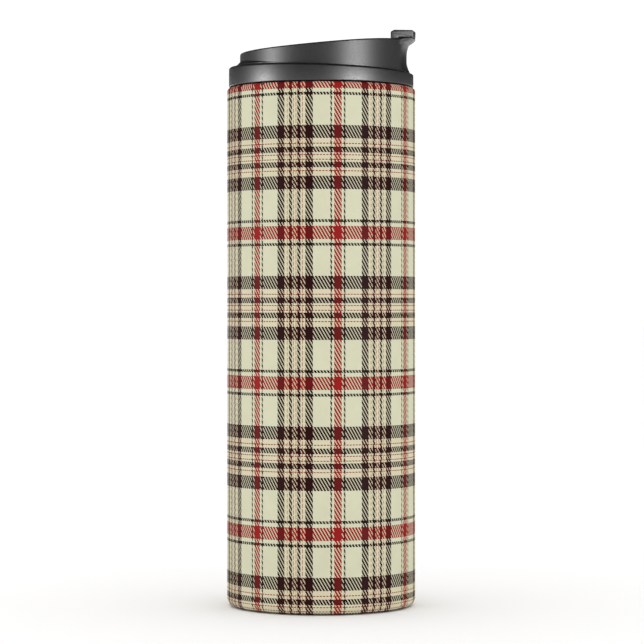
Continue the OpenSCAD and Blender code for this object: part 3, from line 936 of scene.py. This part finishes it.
class FLASK_OT_plug(bpy.types.Operator):
    """Threaded plug of the lid, with its floor, ducts, foam and small seals"""

    bl_idname = "flask.plug"
    bl_label = "Threaded Plug"

    def execute(self, context):
        black = smooth_black()
        inner = PLUG_R - PLUG_T
        floor_top = PLUG_LOW.z + PLUG_T
        angles = even_angles(ROUND_STEPS)
        bm = bmesh.new()
        side = rounded([
            (inner, floor_top, 0), (inner, WEB_Z, 0.2), (PLUG_R, WEB_Z, 0.2), (PLUG_R, PLUG_LOW.z, 1.2),
            (inner, PLUG_LOW.z, 0),
        ])
        rings = []
        for r, z in side:
            rings.append([bm.verts.new(Vector((r * math.cos(a), r * math.sin(a), z)) * MM) for a in angles])
        bridge(bm, rings, closed=False)
        pierced_plate(bm, rings[0], rings[-1], floor_top, PLUG_LOW.z, HOLES, 0.4)
        close_up(bm)
        for x, radius, high in ((SIP_X, SIP_R, DUCT_LOW.z), (VENT_X, VENT_R, DECK_Z - DECK_T)):
            outside = radius + DUCT_WALL
            lathe(bm, rounded([(radius, floor_top - 0.5, 0), (outside, floor_top - 0.5, 0),
                               (outside, high, 0.3), (radius, high, 0.3)]), SMALL_STEPS, (x, 0.0))
        merge(bm, thread_mesh(black, {
            "Root Radius": (PLUG_R - 0.2) * MM, "Lead": THREAD_LEAD * MM, "Ridge Height": 1.45 * MM,
            "First Height": (PLUG_LOW.z + THREAD_START - 1.5) * MM}))
        plug = new_piece("threaded_plug", bm)
        fit_piece(plug, black, "lid", "inner_black", "lid_plug")
        foam = material_of("bead_foam", plain_grained, "DEDDD6", "F2F1EC", 0.8, 0.0, 2.5, 0.15)
        dress_node("lid_insulation", foam)
        dress_node("lid_top_seal", seal_silicone())
        dress_node("duct_seal", seal_silicone())
        return {"FINISHED"}


# ---- flip cap ----------------------------------------------------------------------------------------------


def turned_about_y(outline, steps, x, z):
    """A closed turned part about a line along Y through (x, z). The outline is (radius, y)."""
    part = bmesh.new()
    revolve(part, lambda angle: outline, even_angles(steps))
    close_up(part)
    bmesh.ops.rotate(part, verts=part.verts, cent=(0, 0, 0), matrix=Matrix.Rotation(-math.pi / 2, 3, "X"))
    bmesh.ops.translate(part, verts=part.verts, vec=Vector((x, 0, z)) * MM)
    return part


def arm_part():
    """The cap's arm: a flat plate with a rounded plan that lies over the deck."""
    half = ARM_HALF
    front_half = TAB_HALF + 0.4
    tip = WALL_OFFSET + math.sqrt(RISER_R**2 - front_half**2)
    plan = rounded([(HINGE.x, -half, 0), (tip - 9, -half, 6), (tip, -front_half, 1.0), (tip, front_half, 1.0),
                    (tip - 9, half, 6), (HINGE.x, half, 0)])
    part = bmesh.new()
    edge = 0.45
    rows = [(ARM_Z + edge * (1 - math.cos(a)), edge * (1 - math.sin(a)))
            for a in quarter(4)]
    rows += [(ARM_Z + ARM_T - (z - ARM_Z), d) for z, d in reversed(rows)]
    rings = []
    for z, depth in rows:
        rings.append([part.verts.new(Vector((x, y, z)) * MM) for x, y in inset(plan, depth)])
    bridge(part, rings, closed=False)
    part.faces.new(rings[0])
    part.faces.new(rings[-1])
    close_up(part)
    return part


def tab_part():
    """Riser and thumb tab. The riser stands inside the rim, and the tab reaches over the lip and narrows."""
    tip = WALL_OFFSET + RISER_R - 0.05
    length = TAB_FRONT - TAB_BACK
    outline = rounded([
        (TAB_BACK, ARM_Z + 0.5, 0), (tip, ARM_Z + 0.5, 0), (tip, TAB_Z, 0.4), (TAB_FRONT - 0.05, TAB_Z, 0.12),
        (TAB_FRONT, TAB_TOP - 0.4, 0.3), (TAB_FRONT - 0.4, TAB_TOP, 0.3), (TAB_BACK + 1.2, TAB_TOP, 0.35),
        (TAB_BACK, TAB_TOP - 0.8, 0.35),
    ], steps=4)
    part = bmesh.new()

    def narrowed(x, y):
        """The flat sides run in to half the width at the front."""
        return y * (1 - 0.5 * (x - TAB_BACK) / length)

    slab(part, outline, TAB_HALF, 0.4, pull=narrowed)
    close_up(part)
    return part


class FLASK_OT_flip_cap(bpy.types.Operator):
    """Flip-up cap with its barrel, arm and thumb tab, and the steel hinge pin"""

    bl_idname = "flask.flip_cap"
    bl_label = "Flip Cap"

    def execute(self, context):
        half = ARM_HALF + FIT
        barrel = turned_about_y(rounded([
            (PIN_R + FIT, -half, 0), (BARREL_R, -half, 0.3), (BARREL_R, half, 0.3), (PIN_R + FIT, half, 0),
        ]), SMALL_STEPS, HINGE.x, HINGE.z)
        cap = new_piece("flip_cap_arm", united("cap", [arm_part(), tab_part(), barrel]), crease=38)
        fit_piece(cap, satin_black(), "cap", "satin_black", "flip_cap")
        end = PIN_HIGH.y
        pin = turned_about_y(rounded([(0, -end, 0), (PIN_R, -end, 0.25), (PIN_R, end, 0.25), (0, end, 0)]),
                             SMALL_STEPS, HINGE.x, HINGE.z)
        piece = new_piece("steel_pin", pin)
        fit_piece(piece, material_of("drawn_wire_steel", brushed_steel, 0.24, "round"), "lid", "pin_steel",
                  "hinge_pin")
        return {"FINISHED"}


def stopper_outline(hole_r, low, flange_r, stem_r, head_r, high):
    """Section of a silicone stopper: tapered plug, flange under the arm, stem and button head."""
    seat = DECK_Z + 0.1
    return rounded([
        (0, low, 0), (hole_r - 0.7, low, 0.4), (hole_r - 0.22, seat - 0.1, 0.1), (flange_r, seat, 0.3),
        (flange_r, ARM_Z, 0.2), (stem_r, ARM_Z, 0.1), (stem_r, ARM_Z + ARM_T, 0.1),
        (head_r, ARM_Z + ARM_T, 0.2), (head_r * 0.8, high, 0.3), (0, high, 0),
    ])


class FLASK_OT_stoppers(bpy.types.Operator):
    """Silicone stoppers of the sip hole and the vent hole"""

    bl_idname = "flask.stoppers"
    bl_label = "Stoppers"

    def execute(self, context):
        rows = [
            ("sip_stopper", "spout_seal", SIP_X, SIP_R, SPOUT_LOW, SPOUT_HIGH, 1.55, 2.6),
            ("vent_stopper", "vent_seal", VENT_X, VENT_R + 0.25, VENT_LOW, VENT_HIGH, 0.9, 1.6),
        ]
        for name, node, x, hole_r, low, high, stem_r, head_r in rows:
            bm = bmesh.new()
            outline = stopper_outline(hole_r, low.z, (high.x - low.x) / 2, stem_r, head_r, high.z)
            lathe(bm, outline, SMALL_STEPS, (x, 0.0))
            stopper = new_piece(name, bm)
            fit_piece(stopper, seal_silicone(), "cap", "seal_silicone", node)
        return {"FINISHED"}


# ---- stage -------------------------------------------------------------------------------------------------

VIEW_AZIMUTH = math.radians(10)
CAMERA_DISTANCE_M = 0.95
CAMERA_HEIGHT_M = 0.112
BOX_HEIGHT_M = 0.112
BOX_TALL_M = 0.18
SEEN_WHITE = 1.05  # strength of the tent where the camera looks past the flask


def round_the_flask(azimuth, distance_m, height_m):
    """A point that far from the flask's axis. Azimuth 0 is at -Y, and a quarter turn is at +X."""
    return Vector((math.sin(azimuth) * distance_m, -math.cos(azimuth) * distance_m, height_m))


def soft_box(name, azimuth_deg, distance_m, width_m, watts):
    """An upright soft box that faces the flask."""
    light = bpy.data.lights.new(name, "AREA")
    light.shape = "RECTANGLE"
    light.size = width_m
    light.size_y = BOX_TALL_M
    light.energy = watts
    lamp = bpy.data.objects.new(name, light)
    bpy.context.scene.collection.objects.link(lamp)
    lamp.location = round_the_flask(VIEW_AZIMUTH + math.radians(azimuth_deg), distance_m, BOX_HEIGHT_M)
    aim = Vector((0, 0, BOX_HEIGHT_M)) - lamp.location
    lamp.rotation_euler = aim.to_track_quat("-Z", "Y").to_euler()
    lamp.visible_diffuse = False  # it draws highlights only, so that the print stays evenly lit


class FLASK_OT_stage(bpy.types.Operator):
    """Pale floor, soft studio light and the camera"""

    bl_idname = "flask.stage"
    bl_label = "Stage"

    def execute(self, context):
        scene = context.scene
        look = scene.flask_stage
        scene.view_settings.view_transform = "Standard"
        camera = bpy.data.objects.new("camera", bpy.data.cameras.new("camera"))
        scene.collection.objects.link(camera)
        camera.data.lens = look.lens
        camera.data.sensor_width = 36.0
        camera.data.shift_x = 0.0013
        camera.data.shift_y = -0.0284
        camera.data.clip_end = 50.0
        camera.location = round_the_flask(VIEW_AZIMUTH, CAMERA_DISTANCE_M, CAMERA_HEIGHT_M)
        camera.rotation_euler = (math.pi / 2, 0, VIEW_AZIMUTH)
        scene.camera = camera
        bm = bmesh.new()
        bmesh.ops.create_grid(bm, x_segments=8, y_segments=8, size=12.0)
        floor = new_piece("floor", bm)
        floor.location.z = -0.0002
        finish = {"Roughness": 0.8, "Specular IOR Level": 0.1}
        material, tree, shader = new_material("pale_studio_floor", finish)
        place = add_node(tree, "ShaderNodeTexCoord").outputs["Object"]
        tone = mixed(tree, noise_on(tree, place, 3.0, 2.0), linear("FBFBFB"), linear("FEFEFE"))
        tree.links.new(tone, shader.inputs["Base Color"])
        floor.data.materials.append(material)
        self.light_world(scene, look)
        # they all stand below the level of the deck, so that nothing flat on top of the lid mirrors them
        soft_box("left_soft_box", -74, 0.9, 0.22, look.left_watts)
        soft_box("right_soft_box", 43, 1.1, 0.5, look.right_watts)
        soft_box("left_edge_box", -156, 1.0, 0.3, look.left_edge_watts)
        soft_box("right_edge_box", 160, 1.0, 0.3, look.right_edge_watts)
        return {"FINISHED"}

    @staticmethod
    def light_world(scene, look):
        """An even white tent. Glossy surfaces see it dimmer, as flags beside the flask would make it."""
        world = bpy.data.worlds.new("tent")
        scene.world = world
        world.use_nodes = True
        tree = world.node_tree
        tree.nodes.clear()
        white = (1.0, 1.0, 1.0, 1.0)
        tent, flagged, seen = [
            add_node(tree, "ShaderNodeBackground", None, {"Color": white, "Strength": strength}).outputs[0]
            for strength in (look.tent, look.tent_in_gloss, SEEN_WHITE)]
        path = add_node(tree, "ShaderNodeLightPath").outputs
        gloss = add_node(tree, "ShaderNodeMixShader", None,
                         {"Fac": path["Is Glossy Ray"], 1: tent, 2: flagged})
        direct = add_node(tree, "ShaderNodeMixShader", None,
                          {"Fac": path["Is Camera Ray"], 1: gloss.outputs["Shader"], 2: seen})
        output = add_node(tree, "ShaderNodeOutputWorld")
        tree.links.new(direct.outputs["Shader"], output.inputs["Surface"])


# ---- settings, panel and running ---------------------------------------------------------------------------


def colour_setting(name, description, hex_colour):
    """A colour property with that default."""
    return bpy.props.FloatVectorProperty(
        name=name, description=description, subtype="COLOR", min=0, max=1, default=linear(hex_colour)[:3])


def number_setting(name, description, low, high, default):
    """A number property from low to high."""
    return bpy.props.FloatProperty(name=name, description=description, min=low, max=high, default=default)


def power_setting(name, description, watts):
    """The power of a soft box."""
    return bpy.props.FloatProperty(
        name=name, description=description, subtype="POWER", min=0, max=500, default=watts)


class FlaskPrintSettings(bpy.types.PropertyGroup):
    """The printed check"""

    cream: colour_setting("Cream", "Ground colour of the check", "D0CFB3")
    sand: colour_setting("Sand", "Warmer ground colour inside the dark group", "D4C6A8")
    red: colour_setting("Red", "Colour of the wide red band", "931614")
    dark: colour_setting("Dark", "Near-black brown of the grouped bands", "2A0909")
    olive: colour_setting("Olive", "Near-black green of the thin stripe beside the red band", "181306")
    wine: colour_setting("Wine", "Dark red of the single threads", "7E2318")
    half_threads: bpy.props.IntProperty(
        name="Half Check", description="Threads from a red band's middle to the dark group's middle",
        min=40, max=200, default=80)
    repeats_round: bpy.props.IntProperty(
        name="Repeats", description="Whole checks round the flask", min=3, max=12, default=7)
    warp_start: bpy.props.IntProperty(
        name="Warp Start", description="Upright thread at the middle of a red band", default=-218)
    weft_start: bpy.props.IntProperty(
        name="Weft Start", description="Level thread at the middle of a red band", default=406)
    thread_h: number_setting("Thread Height", "Height of one level thread, in millimetres", 0.1, 1.0, 0.33893)
    weave_scale: number_setting(
        "Weave Scale", "Times coarser than real that the twill's diagonal is drawn", 1, 4, 1.5)
    ink_spread: number_setting(
        "Ink Spread", "How much wider the darker thread prints, in threads", 0, 2, 1.28)


class FlaskLidSettings(bpy.types.PropertyGroup):
    """The lid's plastic"""

    black: colour_setting("Black", "Colour of the moulded lid", "080809")
    roughness: number_setting("Roughness", "Roughness of the satin grain", 0, 1, 0.42)
    shine: number_setting("Shine", "Specular level of the satin plastic", 0, 1, 1.0)


class FlaskStageSettings(bpy.types.PropertyGroup):
    """Light and camera"""

    lens: number_setting("Lens", "Focal length of the camera, in millimetres", 20, 400, 142.5)
    tent: number_setting("Tent", "Strength of the even white light", 0, 5, 1.1)
    tent_in_gloss: number_setting("Tent in Gloss", "Strength of the tent in reflections", 0, 5, 0.065)
    left_watts: power_setting("Left Box", "Power of the left soft box", 5.8)
    right_watts: power_setting("Right Box", "Power of the right soft box", 10.6)
    left_edge_watts: power_setting(
        "Left Edge Box", "Power of the soft box behind the flask, on the left", 0.9)
    right_edge_watts: power_setting(
        "Right Edge Box", "Power of the soft box behind the flask, on the right", 0.2)


OPERATORS = (FLASK_OT_stage, FLASK_OT_shell, FLASK_OT_base, FLASK_OT_liner, FLASK_OT_collar,
             FLASK_OT_drinking_wall, FLASK_OT_plug, FLASK_OT_flip_cap, FLASK_OT_stoppers)


class FLASK_PT_panel(bpy.types.Panel):
    """Sizes, colours and pieces of the flask"""

    bl_label = "Flask"
    bl_idname = "FLASK_PT_panel"
    bl_space_type = "VIEW_3D"
    bl_region_type = "UI"
    bl_category = "Flask"

    def draw(self, context):
        for group in (context.scene.flask_print, context.scene.flask_lid, context.scene.flask_stage):
            box = self.layout.box()
            for key in group.bl_rna.properties.keys():
                if key not in {"rna_type", "name"}:
                    box.prop(group, key)
        for operator in OPERATORS:
            self.layout.operator(operator.bl_idname)


CLASSES = (FlaskPrintSettings, FlaskLidSettings, FlaskStageSettings, *OPERATORS, FLASK_PT_panel)


def register():
    """Registers the classes and the scene's settings."""
    for item in CLASSES:
        bpy.utils.register_class(item)
    bpy.types.Scene.flask_print = bpy.props.PointerProperty(type=FlaskPrintSettings)
    bpy.types.Scene.flask_lid = bpy.props.PointerProperty(type=FlaskLidSettings)
    bpy.types.Scene.flask_stage = bpy.props.PointerProperty(type=FlaskStageSettings)


def unregister():
    """Removes what register added."""
    del bpy.types.Scene.flask_stage
    del bpy.types.Scene.flask_lid
    del bpy.types.Scene.flask_print
    for item in reversed(CLASSES):
        bpy.utils.unregister_class(item)


def main():
    """Builds every piece and the stage."""
    register()
    bpy.ops.flask.stage()
    bpy.ops.flask.shell()
    bpy.ops.flask.base()
    bpy.ops.flask.liner()
    bpy.ops.flask.collar()
    bpy.ops.flask.drinking_wall()
    bpy.ops.flask.plug()
    bpy.ops.flask.flip_cap()
    bpy.ops.flask.stoppers()


if __name__ == "__main__":
    main()
